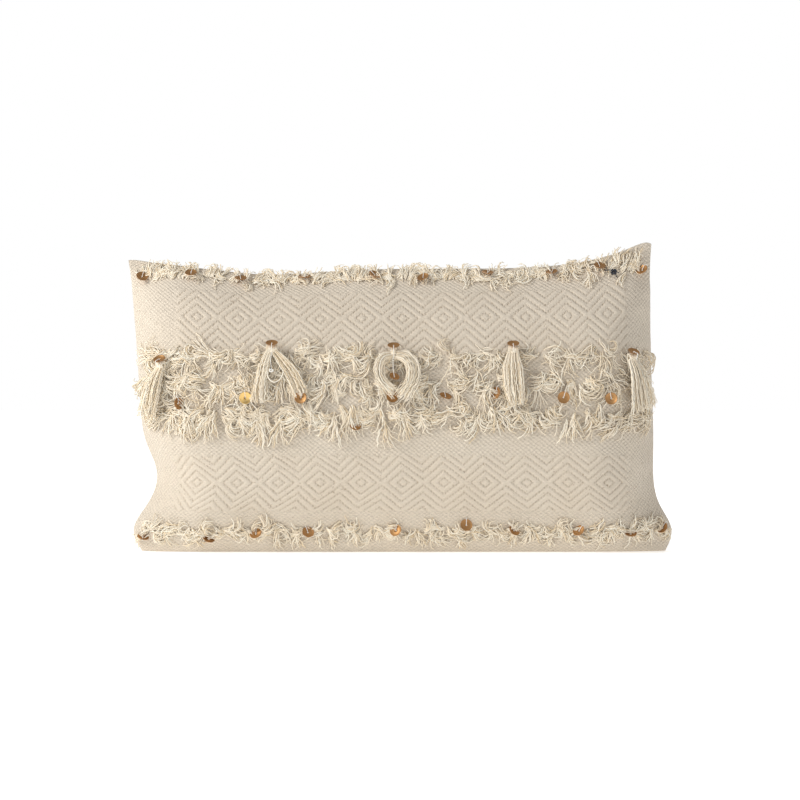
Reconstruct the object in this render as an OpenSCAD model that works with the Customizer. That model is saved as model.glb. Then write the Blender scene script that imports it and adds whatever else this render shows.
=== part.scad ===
// Long throw pillow with a woven cotton cover, yarn fringes, tassels and sequins.
// It stands on its long lower edge, as it would against the back of a chair. The front
// faces -Y, +X is to the right and +Z is up. The origin is on the floor, under the
// bottom seam and halfway along it. All sizes are in millimetres.

/* [Pillow] */
// Width between the side seams at half height
pillow_w = 474; // [440:1:500]
// Height of the top seam above the floor, in the middle
pillow_h = 262; // [250:1:275]
// Depth from front to back in the middle
pillow_d = 116; // [108:1:124]
// How much of the round underside the floor presses flat
sink = 20; // [14:1:26]
// How far each lower corner swells past the side seam
corner_swell = 13; // [4:1:18]
// How far the left side pulls in above its lower corner
left_waist = 12; // [0:1:14]
// How far the right side pulls in above its lower corner
right_waist = 2; // [0:1:14]
// How far the sides spread again at the top
top_spread = 5; // [0:1:8]
// How far the whole pillow leans to the left at its top
lean = 12.5; // [0:0.5:16]
// How far the top left corner stands up
left_ear = 10; // [0:1:20]
// How far the top right corner stands up
right_ear = 30; // [0:1:32]
// How far the top edge dips left of its middle
top_dip = 5.5; // [0:0.5:8]

/* [Cover and insert] */
// Thickness of the woven cover
cover_t = 1.5; // [1.2:0.1:1.8]
// Thickness of the insert's plain case
case_t = 0.5; // [0.4:0.1:0.8]
// Slack between the cover and the insert, front and back
slack = 3.7; // [3.7:0.1:5]
// Gap between layers that lie on each other
layer_gap = 0.3; // [0.2:0.05:0.4]

/* [Zip] */
// Length of the slit in the back that the zip closes
zip_len = 304; // [260:2:304]
// Height of the zip above the floor
zip_z = 72; // [66:1:84]
// Height of the slit between the two folded edges
slit_h = 8.4; // [7.8:0.2:10]
// Width of each half of the zip's tape
tape_w = 13; // [10:1:14]
// Distance from one loop of the coil to the next
coil_pitch = 2.5; // [2:0.5:4]
// Length of the slider
slider_l = 12; // [10:1:14]
// Length of the slider's pull
pull_l = 24; // [18:1:30]

/* [Trim] */
// Thickness of a row of fringe as it lies on the cover
fringe_t = 2.5; // [1.5:0.1:2.8]
// Diameter of a sequin
sequin_d = 11; // [9:0.5:12]
// Thickness of a sequin
sequin_t = 0.4; // [0.3:0.1:0.6]
// Length of a tassel from its sewn head to its cut ends
tassel_l = 52; // [40:1:56]
// Width of a tassel's cut ends
tassel_w = 22; // [14:1:26]
// Radius of a tassel's folded head
head_r = 3.8; // [3.5:0.1:4]
// Radius of the sewing thread
thread_r = 0.5; // [0.4:0.05:0.55]

/* [Hidden] */
$fn = 48;
cream = [0.87, 0.81, 0.71];
pale_cream = [0.91, 0.86, 0.77];
white = [0.95, 0.94, 0.92];
nickel = [0.75, 0.74, 0.72];
copper = [0.69, 0.45, 0.25];
mid_z = pillow_h / 2;

// Outline and crown. s runs from -1 at the left seam to 1 at the right seam, and t from
// -1 at the bottom seam to 1 at the top seam. Inside the plateau the crown is straight
// along X, because the zip's tape holds it so.
plateau = 0.68;
end_steps = 6;
plateau_steps = 6;
floor_t = 2 * sink / (pillow_h + sink) - 1;
side_steps = 12;
far_s = [for (i = [0:end_steps - 1]) plateau + (1 - plateau) * cos(90 * i / end_steps)];
columns = concat(
    [for (i = [0:end_steps - 1]) -far_s[i]],
    [for (i = [0:plateau_steps]) plateau * (2 * i / plateau_steps - 1)],
    [for (i = [end_steps - 1:-1:0]) far_s[i]]
);
// Every layer has the same rows. One runs along the zip, and one past each of its tapes.
zip_t = t_at(zip_z);
tape_t_low = t_at(zip_z - tape_w - 4);
tape_t_high = t_at(zip_z + tape_w + 4);
side_rows = [for (j = [0:side_steps]) (1 + floor_t) / 2 - (1 - floor_t) / 2 * cos(180 * j / side_steps)];
back_low_rows = concat([-1], [for (t = side_rows) if (t < tape_t_low - 0.03) t], [tape_t_low, zip_t]);
back_high_rows = concat([zip_t, tape_t_high], [for (t = side_rows) if (t > tape_t_high + 0.03) t]);
all_rows = concat(back_low_rows, [for (j = [1:len(back_high_rows) - 1]) back_high_rows[j]]);

function bump(z, at, spread) = exp(-pow((z - at) / spread, 2));
function half_w(z) =
    pillow_w / 2 + top_spread * pow(z / pillow_h, 4)
    + corner_swell * bump(z, 18, 22) - (left_waist + right_waist) / 2 * bump(z, 70, 28);
function middle_x(z) =
    lean * (0.31 - z / pillow_h) + (left_waist - right_waist) / 2 * bump(z, 70, 28);
function ear(s) =
    (s < 0 ? left_ear : right_ear) * pow(abs(s), 5) * (1 - 0.25 * pow(abs(s), 40))
    - top_dip * bump(s, -0.45, 0.25);
function end_round(s) =
    let (r = max(0, (abs(s) - plateau) / (1 - plateau))) pow(max(0, 1 - pow(r, 2.4)), 0.7);
function crown(t) = pow(max(0, 1 - pow(abs(t), 2.2)), 0.7);

// A point on the pillow. side is -1 for the front and 1 for the back. inset is how far
// the layer lies inside the cover's outer face along X, Y and Z, or outside if negative.
function skin(s, t, side, inset) =
    let (
        up = (t + 1) / 2,
        z = (pillow_h + sink) * up - sink + ear(s) * pow(up, 6),
        x = middle_x(z) + s * half_w(z),
        y = side * pillow_d / 2 * end_round(s) * crown(t)
    )
    [
        x * (1 - 2 * inset.x / pillow_w),
        y * (1 - 2 * inset.y / pillow_d),
        max(inset.z, mid_z + (z - mid_z) * (1 - 2 * inset.z / pillow_h))
    ];

function s_at(x, z) = (x - middle_x(z)) / half_w(z);
function t_at(z) = 2 * (z + sink) / (pillow_h + sink) - 1;
function unit(v) = v / norm(v);

outer = [0, 0, 0];
cover_in = [cover_t, cover_t, cover_t];
case_out = [cover_t + layer_gap, cover_t + slack, cover_t + layer_gap];
case_in = case_out + [case_t, case_t, case_t];
fill_out = case_in + [layer_gap, layer_gap, layer_gap];

// Triangles of a closed slab whose two faces are grids of n columns by the given rows.
// Each cell's diagonal points to the middle, so that no triangle lies flat in a corner. A
// slab with no rim is one whose faces already meet along their edges.
function grid_tris(n, rows, first, turned) = [
    for (j = [0:len(rows) - 2]) for (i = [0:n - 2])
        let (
            a = first + j * n + i,
            b = a + 1,
            c = b + n,
            d = a + n,
            rising = (i < (n - 1) / 2) == (rows[j] + rows[j + 1] < 0),
            cell = rising ? [[a, b, c], [a, c, d]] : [[a, b, d], [b, c, d]]
        )
        for (f = cell) turned ? [f[0], f[2], f[1]] : f
];
function edge_loop(n, m) = concat(
    [for (i = [0:n - 1]) i],
    [for (j = [1:m - 1]) j * n + n - 1],
    [for (i = [n - 2:-1:0]) (m - 1) * n + i],
    [for (j = [m - 2:-1:1]) j * n]
);
function rim_tris(n, m) =
    let (ring = edge_loop(n, m), last = len(ring))
    [
        for (k = [0:last - 1])
            let (a = ring[k], b = ring[(k + 1) % last])
            each [[a, n * m + a, b], [b, n * m + a, n * m + b]]
    ];

module slab(face, back, n, rows, rim = true) {
    m = len(rows);
    polyhedron(
        points = concat(face, back),
        faces = concat(
            grid_tris(n, rows, 0, true),
            grid_tris(n, rows, n * m, false),
            rim ? [for (f = rim_tris(n, m)) [f[0], f[2], f[1]]] : []
        )
    );
}

function layer(rows, side, inset) =
    [for (t = rows) for (s = columns) skin(s, t, side, inset)];

// One sewn panel of cloth, between two layers of the pillow
module panel(rows, side, from, to) {
    turned = side < 0;
    slab(
        layer(rows, side, turned ? to : from),
        layer(rows, side, turned ? from : to),
        len(columns),
        rows
    );
}

// Front and back woven panels
module zip_slit() {
    translate([-zip_len / 2, 0, zip_z - slit_h / 2])
        cube([zip_len, pillow_d, slit_h]);
}

module cover_front() {
    color(cream) panel(all_rows, -1, outer, cover_in);
}

module cover_back_upper() {
    color(cream) difference() {
        panel(back_high_rows, 1, outer, cover_in);
        zip_slit();
    }
}

module cover_back_lower() {
    color(cream) difference() {
        panel(back_low_rows, 1, outer, cover_in);
        zip_slit();
    }
}

// The insert: a plain case of two panels, filled with loose fibre
module insert_case_front() {
    color(white) panel(all_rows, -1, case_out, case_in);
}

module insert_case_back() {
    color(white) panel(all_rows, 1, case_out, case_in);
}

module filling() {
    color(white) slab(
        layer(all_rows, 1, fill_out),
        layer(all_rows, -1, fill_out),
        len(columns),
        all_rows,
        rim = false
    );
}

// Zip. In its own frame X runs along the zip, Y points out of the back and Z is up the
// slope of the back. Y is 0 on the cover's outer face.
back_y = skin(0, zip_t, 1, outer).y;
zip_tilt = atan((skin(0, t_at(zip_z + 4), 1, outer).y - skin(0, t_at(zip_z - 4), 1, outer).y) / 8);
tape_gap = 1.1;
tape_y = -2.5;
tape_t = 0.6;
tape_l = zip_len + 12;
coil_w = 2.6;
coil_l = zip_len - 8;
stop_l = 3.4;
clear = 0.35;
slider_w = 9;
plate_t = 0.9;
bail_w = 1.6;
bail_gap = 1.8;
bail_l = slider_l - 3;
pull_w = 6;
pull_t = 1.1;
bar_r = 0.5;
slider_x = coil_l / 2 - slider_l / 2 - 2;
bar_y = clear + plate_t + bail_gap / 2;

module on_back() {
    translate([0, back_y, zip_z]) rotate([-zip_tilt, 0, 0]) children();
}

module zip_tape(side) {
    on_back() translate([-tape_l / 2, tape_y - tape_t, side > 0 ? tape_gap / 2 : -tape_gap / 2 - tape_w])
        cube([tape_l, tape_t, tape_w]);
}

// A row of coil loops with the spine that joins them
module zip_coil(side) {
    loops = floor(coil_l / coil_pitch);
    loop_w = coil_pitch * 0.6;
    spine = coil_w * 0.4;
    comb = [
        [coil_l / 2, coil_w],
        [-coil_l / 2, coil_w],
        for (i = [0:loops - 1])
            let (x = -coil_l / 2 + i * coil_pitch)
            each [
                [x, coil_w - spine],
                [x, 0],
                [x + loop_w, 0],
                [x + loop_w, coil_w - spine]
            ],
        [coil_l / 2, coil_w - spine]
    ];
    on_back() translate([0, 0, side * tape_gap / 2]) rotate([90, 0, 0])
        mirror([0, side > 0 ? 0 : 1, 0]) linear_extrude(-tape_y) polygon(comb);
}

module zip_tape_upper() {
    color(pale_cream) zip_tape(1);
}

module zip_tape_lower() {
    color(pale_cream) zip_tape(-1);
}

module zip_coil_upper() {
    color(pale_cream) zip_coil(1);
}

module zip_coil_lower() {
    color(pale_cream) zip_coil(-1);
}

// A clamp on the tape at one end of the coil
module zip_stop(x, low, high) {
    on_back() translate([x, tape_y, low]) cube([stop_l, -tape_y, high - low]);
}

module zip_bottom_stop() {
    color(nickel) zip_stop(-coil_l / 2 - stop_l - 0.2, -tape_gap / 2 - coil_w, tape_gap / 2 + coil_w);
}

module zip_top_stop_upper() {
    color(nickel) zip_stop(coil_l / 2 + 0.2, tape_gap / 2, tape_gap / 2 + coil_w);
}

module zip_top_stop_lower() {
    color(nickel) zip_stop(coil_l / 2 + 0.2, -tape_gap / 2 - coil_w, -tape_gap / 2);
}

// A plate with round corners, lying in the zip's plane
module zip_plate(l, w, t) {
    corner = 2;
    rotate([-90, 0, 0]) linear_extrude(t) union() {
        square([l - 2 * corner, w], center = true);
        square([l, w - 2 * corner], center = true);
        for (x = [-1, 1]) for (z = [-1, 1])
            translate([x * (l / 2 - corner), z * (w / 2 - corner)]) circle(corner);
    }
}

// The slider's two plates are joined by a thin neck between the coils
module zip_slider() {
    under = tape_y - tape_t - clear;
    neck_t = 0.4;
    color(nickel) on_back() translate([slider_x, 0, 0]) union() {
        translate([0, clear, 0]) zip_plate(slider_l, slider_w, plate_t);
        translate([0, under - plate_t, 0]) zip_plate(slider_l, slider_w, plate_t);
        translate([-slider_l / 4, under - plate_t / 2, -neck_t / 2])
            cube([slider_l / 2, clear - under + plate_t, neck_t]);
        for (x = [-bail_l / 2, bail_l / 2 - 1])
            translate([x, clear + plate_t / 2, -bail_w / 2]) cube([1, bail_gap + plate_t, bail_w]);
        translate([-bail_l / 2, clear + plate_t + bail_gap, -bail_w / 2]) cube([bail_l, 0.9, bail_w]);
    }
}

// The pull's cross bar turns under the slider's bail
module zip_pull() {
    arm_w = 1.3;
    arm_l = bail_l / 2 + 1.2;
    hole_r = 1.4;
    color(nickel) on_back() translate([slider_x, bar_y, 0]) union() {
        translate([0, 0, -pull_w / 2]) cylinder(r = bar_r, h = pull_w);
        for (z = [-pull_w / 2, pull_w / 2 - arm_w])
            translate([0, -bar_r, z]) cube([arm_l, 2 * bar_r, arm_w]);
        difference() {
            translate([arm_l + (pull_l - arm_l) / 2, -bar_r, 0])
                zip_plate(pull_l - arm_l, pull_w, 2 * bar_r);
            translate([pull_l - 3.2, -pull_t, 0]) rotate([-90, 0, 0]) cylinder(r = hole_r, h = 2 * pull_t);
        }
        translate([arm_l - 0.5, -bar_r, -pull_w / 2]) cube([2.5, 2 * bar_r, pull_w]);
    }
}

// Fringe. Each row is a strip of loose yarn ends that lies on the front.
fringe_gap = 0.4;
fringe_s = 0.96;

module fringe(low, high) {
    inner = -[fringe_gap, fringe_gap, fringe_gap];
    out = inner - [fringe_t, fringe_t, 0];
    wide = [for (s = columns) if (abs(s) < fringe_s) s];
    strip_s = concat([-fringe_s], wide, [fringe_s]);
    low_t = t_at(low);
    high_t = t_at(high);
    strip_t = concat([low_t], [for (t = all_rows) if (t > low_t + 0.01 && t < high_t - 0.01) t], [high_t]);
    color(pale_cream) slab(
        [for (t = strip_t) for (s = strip_s) skin(s, t, -1, inner)],
        [for (t = strip_t) for (s = strip_s) skin(s, t, -1, out)],
        len(strip_s),
        strip_t
    );
}

module fringe_top() {
    fringe(236, 256);
}

// The upper row parts behind each tassel's head, so that the head can turn
module fringe_upper() {
    color(pale_cream) difference() {
        fringe(160, 184);
        for (i = [0:len(TASSELS) - 1]) {
            tassel_legs(i, thread_r + 0.15);
            translate(head_at(i)) rotate([0, 0, turn(i)]) rotate([0, 90, 0])
                cylinder(r = head_out - fringe_gap, h = 2 * (loop_half + thread_r + 0.2), center = true);
        }
    }
}

module fringe_middle() {
    fringe(131, 158);
}

module fringe_lower() {
    fringe(98, 129);
}

module fringe_bottom() {
    fringe(2, 20);
}

// A frame on the cover's front face at a given place: X to the right, Y up the cloth and
// Z outwards.
module on_front(x, z, out) {
    s = s_at(x, z);
    t = t_at(z);
    step = 0.004;
    across = skin(s + step, t, -1, outer) - skin(s - step, t, -1, outer);
    along = skin(s, t + step, -1, outer) - skin(s, t - step, -1, outer);
    n = unit(cross(across, along));
    i = unit(across);
    j = cross(n, i);
    p = skin(s, t, -1, outer) + n * out;
    multmatrix([
        [i.x, j.x, n.x, p.x],
        [i.y, j.y, n.y, p.y],
        [i.z, j.z, n.z, p.z],
        [0, 0, 0, 1]
    ]) children();
}

// Sequins: place along X and height of each one's centre
top_sequins = [
    [-235, 246], [-191, 251], [-146, 251], [-87, 255], [-23, 253],
    [22, 251], [81, 254.5], [140, 253], [184, 252], [222, 243]
];
middle_sequins = [
    [-196, 136], [-137, 141], [-88, 141], [-40, 117], [-6, 142], [42, 140],
    [87, 145], [146, 140], [187, 139]
];
bottom_sequins = [
    [-232, 20], [-173, 12], [-130, 12], [-83, 10], [-3, 16], [61, 19],
    [104, 14], [163, 13], [209, 12], [239, 20]
];
sequin_out = fringe_gap + fringe_t + 0.6;
sequin_hole_r = 0.9;
tie_r = 0.3;

module sequin() {
    difference() {
        cylinder(d = sequin_d, h = sequin_t);
        translate([0, 0, -sequin_t]) cylinder(r = sequin_hole_r, h = 3 * sequin_t);
    }
}

module sequins(places) {
    color(copper) for (p = places) on_front(p.x, p.y, sequin_out) sequin();
}

// The thread that holds each sequin runs from its hole over its upper edge
module sequin_ties(places) {
    color(white) for (p = places)
        on_front(p.x, p.y, sequin_out + sequin_t + tie_r + 0.1)
            rotate([-90, 0, 0]) cylinder(r = tie_r, h = sequin_d / 2 + 0.8);
}

module sequins_top() {
    sequins(top_sequins);
}

module sequins_middle() {
    sequins(middle_sequins);
}

module sequins_bottom() {
    sequins(bottom_sequins);
}

module sequin_ties_top() {
    sequin_ties(top_sequins);
}

module sequin_ties_middle() {
    sequin_ties(middle_sequins);
}

module sequin_ties_bottom() {
    sequin_ties(bottom_sequins);
}

// Tassels. Each hank of yarn is folded over a loop of thread that is sewn to the cover,
// and swings on it. In a tassel's own frame Z is up its length and -Y points outwards.
TASSELS = ["far_left", "left", "centre", "right", "far_right"];
tassel_x = [-212, -115, -5, 103, 207];
tassel_z = [172, 187, 184, 185.5, 177];
tassel_sway = [-9, 0, 0, 2, 6];
head_out = fringe_gap + fringe_t + 1 + head_r;
loop_half = sequin_d / 2 + 1.3;
neck_r = head_r * 0.7;
neck_z = -head_r - 4;
tie_t = 0.8;
skirt_d = 7;
running_gap = 0.08;

function front_normal(x, z) =
    let (
        s = s_at(x, z),
        t = t_at(z),
        step = 0.004,
        across = skin(s + step, t, -1, outer) - skin(s - step, t, -1, outer),
        along = skin(s, t + step, -1, outer) - skin(s, t - step, -1, outer)
    )
    unit(cross(across, along));
function front_point(x, z) = skin(s_at(x, z), t_at(z), -1, outer);
function turn(i) =
    let (n = front_normal(tassel_x[i], tassel_z[i])) atan2(n.x, -n.y);
function head_at(i) =
    front_point(tassel_x[i], tassel_z[i]) + [sin(turn(i)), -cos(turn(i)), 0] * head_out;
// Angle at which the cover's bulge holds the tassel's ends out
function sway(i) = atan(tassel_sway[i] / tassel_l);
function lift(i) =
    let (
        x = tassel_x[i],
        z = tassel_z[i],
        out = [sin(turn(i)), -cos(turn(i)), 0],
        bulge = max([for (k = [0.25:0.25:1])
            let (p = front_point(x + tassel_sway[i] * k, z - tassel_l * k) - front_point(x, z))
            (p * out - 0.3) / k])
    )
    atan(max(0, bulge) / tassel_l);

module at_tassel(i) {
    translate(head_at(i)) rotate([-lift(i), -sway(i), turn(i)]) children();
}

module tassel_hank(i) {
    color(pale_cream) at_tassel(i) difference() {
        union() {
            sphere(head_r);
            translate([0, 0, neck_z]) cylinder(r = neck_r, h = -neck_z);
            hull() {
                translate([0, 0, neck_z - 0.5]) cylinder(r = neck_r, h = 0.5, $fn = 24);
                for (x = [-1, 1])
                    translate([x * (tassel_w - skirt_d) / 2, 0, -tassel_l])
                        cylinder(d = skirt_d, h = 6, $fn = 24);
            }
        }
        rotate([lift(i), 0, 0]) rotate([0, 90 + sway(i), 0])
            cylinder(r = thread_r + running_gap, h = 4 * head_r, center = true);
    }
}

// Thread wound round the neck
module tassel_tie(i) {
    color(white) at_tassel(i) translate([0, 0, neck_z + 0.6]) difference() {
        cylinder(r = neck_r + 0.05 + tie_t, h = 2);
        translate([0, 0, -1]) cylinder(r = neck_r + 0.05, h = 4);
    }
}

module tassel_sequin(i) {
    color(copper) at_tassel(i) rotate([35, 0, 0]) translate([0, 0, head_r + 0.2]) sequin();
}

// The loop of thread that the head hangs on, with both ends in the cover
module tassel_legs(i, r) {
    translate(head_at(i)) rotate([0, 0, turn(i)])
        for (x = [-loop_half, loop_half])
            translate([x, 0, 0]) rotate([-90, 0, 0]) cylinder(r = r, h = head_out - 0.3);
}

module tassel_stitch(i) {
    color(white) union() {
        translate(head_at(i)) rotate([0, 0, turn(i)]) {
            rotate([0, 90, 0]) cylinder(r = thread_r, h = 2 * loop_half, center = true);
            for (x = [-loop_half, loop_half])
                translate([x, 0, 0]) sphere(thread_r);
        }
        tassel_legs(i, thread_r);
    }
}

tassel_pieces = ["hank", "tie", "sequin", "stitch"];

cover_front();
cover_back_upper();
cover_back_lower();
insert_case_front();
insert_case_back();
filling();
zip_tape_upper();
zip_tape_lower();
zip_coil_upper();
zip_coil_lower();
zip_bottom_stop();
zip_top_stop_upper();
zip_top_stop_lower();
zip_slider();
zip_pull();
fringe_top();
fringe_upper();
fringe_middle();
fringe_lower();
fringe_bottom();
sequins_top();
sequins_middle();
sequins_bottom();
sequin_ties_top();
sequin_ties_middle();
sequin_ties_bottom();
for (i = [0:len(TASSELS) - 1]) {
    tassel_hank(i);
    tassel_tie(i);
    tassel_sequin(i);
    tassel_stitch(i);
}
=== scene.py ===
import math

import bpy
import numpy as np
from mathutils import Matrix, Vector


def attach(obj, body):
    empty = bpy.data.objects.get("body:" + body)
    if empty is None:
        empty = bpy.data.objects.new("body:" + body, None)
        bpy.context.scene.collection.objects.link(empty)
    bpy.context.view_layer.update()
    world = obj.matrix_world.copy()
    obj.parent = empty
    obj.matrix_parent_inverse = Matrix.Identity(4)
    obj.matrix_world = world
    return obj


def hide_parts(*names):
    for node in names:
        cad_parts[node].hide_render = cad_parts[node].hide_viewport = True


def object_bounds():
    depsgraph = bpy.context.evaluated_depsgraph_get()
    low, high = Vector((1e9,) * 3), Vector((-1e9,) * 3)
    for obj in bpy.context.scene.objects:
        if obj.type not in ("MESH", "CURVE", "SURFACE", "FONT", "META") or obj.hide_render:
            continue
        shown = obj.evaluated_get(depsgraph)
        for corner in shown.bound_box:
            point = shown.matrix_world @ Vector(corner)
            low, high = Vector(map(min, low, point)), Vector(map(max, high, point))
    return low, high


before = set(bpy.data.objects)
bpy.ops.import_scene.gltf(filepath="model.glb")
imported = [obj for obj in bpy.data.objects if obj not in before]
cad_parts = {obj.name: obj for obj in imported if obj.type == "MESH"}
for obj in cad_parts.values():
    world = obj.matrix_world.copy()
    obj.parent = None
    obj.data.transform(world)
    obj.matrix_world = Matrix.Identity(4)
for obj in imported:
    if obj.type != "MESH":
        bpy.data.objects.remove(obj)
cad_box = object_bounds()
rng = np.random.default_rng(11)

# Sizes are in millimetres, as in the CAD source, and become metres when a mesh is made.
MM = 0.001

# The pillow's form
WIDTH, HEIGHT, DEPTH, SINK = 474.0, 262.0, 116.0, 20.0
CORNER_SWELL, LEFT_WAIST, RIGHT_WAIST, TOP_SPREAD, LEAN = 13.0, 12.0, 2.0, 5.0, 12.5
LEFT_EAR, RIGHT_EAR, TOP_DIP, PLATEAU = 10.0, 30.0, 5.5, 0.68

# Zip, on the back
ZIP_Z, ZIP_L, SLIT_H = 72.0, 304.0, 8.4
ZIP_Y, ZIP_TILT = 53.97, 10.42
COIL_L, COIL_PITCH, COIL_W, TAPE_GAP = 296.0, 2.5, 2.6, 1.1
# Topstitching: how far it runs from the zip's middle, one stitch's length, and their spacing
STITCH_OUT, STITCH_L, STITCH_STEP = 8.6, 2.7, 3.8

# Diamond bands: lowest, highest and middle height, then how far up the cloth one unit of
# the rings reaches
BANDS = ((38.5, 91.5, 66.0, 15.5), (174.0, 240.0, 214.0, 18.0))
REPEAT, PHASE, RING, RIDGE = 37.4, 3.6, 0.45, 0.75
BAND_ENDS = (-206.0, 213.0)

# Sequins: place along X and height, then how far each is turned to its side and tipped up,
# in degrees, and how far it stands off the cover
TOP_SEQUINS = (
    (-235, 246, 20, 40, 3), (-191, 251, -5, 58, 4), (-146, 251, 5, 66, 4), (-87, 255, 0, 74, 2),
    (-23, 253, 35, 50, 3), (22, 251, -30, 52, 2.5), (81, 254.5, 10, 70, 2.5),
    (140, 253, -15, 66, 2.5), (184, 252, 12, 55, 4), (222, 243, -35, 40, 3),
)
MIDDLE_SEQUINS = (
    (-196, 136, 48, 5, 3.5), (-137, 141, 8, -6, 5.5), (-88, 141, -12, 10, 5.5),
    (-40, 117, 20, 30, 1.2), (-6, 142, 15, 12, 5), (42, 142, 30, 58, 3), (87, 145, -46, 8, 3.5),
    (146, 141, 6, 4, 5.5), (187, 140, -8, 6, 5.5),
)
BOTTOM_SEQUINS = (
    (-232, 13, 30, 62, 4), (-173, 14, 20, 50, 1.5), (-130, 18, -20, 38, 4.5),
    (-83, 19, 15, 32, 4.5), (-3, 21, -25, 20, 5), (61, 26, 10, 18, 5), (104, 21, 35, 30, 3.5),
    (163, 21, -30, 35, 4), (209, 18, 5, 60, 4), (239, 22, -35, 30, 3),
)
SEQUIN_ROWS = (("top", TOP_SEQUINS), ("middle", MIDDLE_SEQUINS), ("bottom", BOTTOM_SEQUINS))
SEQUIN_R, HOLE_R = 5.5, 0.9

# Tassels: name, place of the folded head, turn, sway and lift in degrees
TASSELS = (
    ("far_left", (-216.2, -48.37, 172.47), -32.81, -9.82, 2.01),
    ("left", (-114.94, -57.82, 186.17), 0.04, 0.0, 12.05),
    ("centre", (-5.0, -58.61, 183.97), -0.03, 0.0, 11.2),
    ("right", (102.99, -58.22, 185.59), -0.06, 2.2, 11.62),
    ("far_right", (211.46, -44.75, 178.93), 35.82, 6.58, 5.77),
)


# ---------------------------------------------------------------- small helpers
def unit(v):
    return v / np.maximum(np.linalg.norm(v, axis=-1, keepdims=True), 1e-9)


def smooth(x, low, high):
    r = np.clip((x - low) / (high - low), 0, 1)
    return r * r * (3 - 2 * r)


def add_mesh(name, points, faces, materials, slots=None, body="cushion"):
    """A mesh object from points in millimetres."""
    mesh = bpy.data.meshes.new(name)
    mesh.from_pydata(np.asarray(points, float) * MM, [], faces)
    for m in materials:
        mesh.materials.append(m)
    if slots is not None:
        mesh.polygons.foreach_set("material_index", np.asarray(slots, np.int32))
    mesh.polygons.foreach_set("use_smooth", np.ones(len(mesh.polygons), bool))
    mesh.update()
    obj = bpy.data.objects.new(name, mesh)
    bpy.context.collection.objects.link(obj)
    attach(obj, body)
    return obj


def join(parts):
    """One list of points and faces from several."""
    points, faces, first = [], [], 0
    for p, f in parts:
        points.append(np.asarray(p, float).reshape(-1, 3))
        faces.append(np.asarray(f, int) + first)
        first += len(points[-1])
    return np.concatenate(points), np.concatenate(faces)


def tubes(paths, radii, sides=4):
    """Round threads along many paths at once: paths (strands, points, 3), radii to match."""
    paths = np.asarray(paths, float)
    count, n = paths.shape[:2]
    radii = np.broadcast_to(np.asarray(radii, float), (count, n))
    along = unit(np.gradient(paths, axis=1))
    first = np.eye(3)[np.argmin(np.abs(along[:, 0]), axis=1)]
    side = unit(np.cross(along[:, 0], first))
    sides_at = []
    for k in range(n):
        side = unit(side - (side * along[:, k]).sum(-1, keepdims=True) * along[:, k])
        sides_at.append(side)
    a = np.stack(sides_at, axis=1)
    b = np.cross(along, a)
    turn = 2 * math.pi * np.arange(sides) / sides
    ring = (
        a[:, :, None] * np.cos(turn)[None, None, :, None]
        + b[:, :, None] * np.sin(turn)[None, None, :, None]
    )
    points = paths[:, :, None] + ring * radii[:, :, None, None]
    k, j = np.meshgrid(np.arange(n - 1), np.arange(sides), indexing="ij")
    j2 = (j + 1) % sides
    wall = np.stack([k * sides + j, k * sides + j2, (k + 1) * sides + j2, (k + 1) * sides + j], -1)
    faces = [wall.reshape(-1, 4)]
    for q in range(1, sides - 2, 2):
        faces.append(np.array([[q + 2, q + 1, q, 0]]) if q + 2 < sides else np.zeros((0, 4), int))
        top = (n - 1) * sides
        faces.append(np.array([[top, top + q, top + q + 1, top + q + 2]]))
    strand = np.concatenate(faces)
    all_faces = strand[None] + (np.arange(count) * n * sides)[:, None, None]
    return points.reshape(-1, 3), all_faces.reshape(-1, 4)


# ---------------------------------------------------------------- the pillow's form
def bump(z, at, spread):
    return np.exp(-(((z - at) / spread) ** 2))


def half_width(z):
    return (
        WIDTH / 2 + TOP_SPREAD * (np.abs(z) / HEIGHT) ** 4
        + CORNER_SWELL * bump(z, 18, 22) - (LEFT_WAIST + RIGHT_WAIST) / 2 * bump(z, 70, 28)
    )


def middle(z):
    return LEAN * (0.31 - z / HEIGHT) + (LEFT_WAIST - RIGHT_WAIST) / 2 * bump(z, 70, 28)


def ear(s):
    """How far the top edge stands above its usual height."""
    rise = np.where(s < 0, LEFT_EAR, RIGHT_EAR) * np.abs(s) ** 5 * (1 - 0.25 * np.abs(s) ** 40)
    return rise - TOP_DIP * bump(s, -0.45, 0.25)


def form(s, t, side):
    """The cover's outer face: s from -1 at the left seam to 1, t from -1 at the bottom to 1."""
    up = (t + 1) / 2
    z = (HEIGHT + SINK) * up - SINK + ear(s) * up**6
    x = middle(z) + s * half_width(z)
    r = np.clip((np.abs(s) - PLATEAU) / (1 - PLATEAU), 0, 1)
    end = np.maximum(1 - r**2.4, 0) ** 0.7
    crown = np.maximum(1 - np.abs(t) ** 2.2, 0) ** 0.7
    return np.stack([x, side * DEPTH / 2 * end * crown, np.maximum(z, 0)], -1)


def s_at(x, z):
    return (x - middle(z)) / half_width(z)


def t_at(z):
    return 2 * (z + SINK) / (HEIGHT + SINK) - 1


def z_at(t):
    """The height that t means in the plain form, before the top edge's ears."""
    return (t + 1) / 2 * (HEIGHT + SINK) - SINK


# Even steps of a sine crowd the grid's lines towards the seams, where the cloth bends most.
CROWD = 0.85 * math.pi / 2
COLS, ROWS = 97, 57
# The cloth starts this much flatter than the finished pillow, because it swells.
START_DEPTH = 0.82
CLOTH_FRAMES = 20
# Share of the simulated swelling that is kept, and the most that it may move a point
SWELL_SHARE, SWELL_CAP = 0.6, 9.0
# Smoothing passes from side to side: a full insert presses the narrow folds out
SMOOTHING_PASSES = 14


def crowded(v):
    return np.sin(CROWD * v) / math.sin(CROWD)


def uncrowded(v):
    return np.arcsin(np.clip(v, -1, 1) * math.sin(CROWD)) / CROWD


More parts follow.
